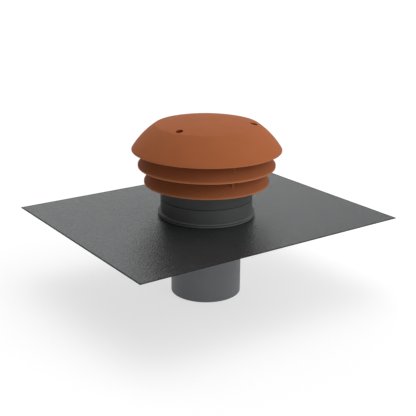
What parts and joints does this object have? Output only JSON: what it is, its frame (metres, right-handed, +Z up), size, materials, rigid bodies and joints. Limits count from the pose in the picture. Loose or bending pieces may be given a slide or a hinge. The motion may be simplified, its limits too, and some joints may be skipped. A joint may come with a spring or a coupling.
{
  "type": "roof vent cap",
  "caption": "Round roof vent cap: a domed cover over stacked louvre rings, on a collar and a flat flashing sheet, with a pipe below.",
  "frame": {"origin": "centre of the pipe's lower end, on the surface it stands on", "axes": "+Z up along the pipe, +X along the flashing sheet's long side"},
  "size_m": [0.5, 0.4, 0.3046],
  "materials": {
    "terracotta_plastic": "satin",
    "dark_grey_plastic": "satin",
    "embossed_sheet": "fine embossed grain",
    "pipe_plastic": "satin"
  },
  "bodies": {
    "root": {"dome": "terracotta_plastic", "upper_louvre": "terracotta_plastic", "lower_louvre": "terracotta_plastic", "neck": "dark_grey_plastic", "collar": "dark_grey_plastic", "flashing_sheet": "embossed_sheet", "pipe": "pipe_plastic"}
  },
  "joints": []
}
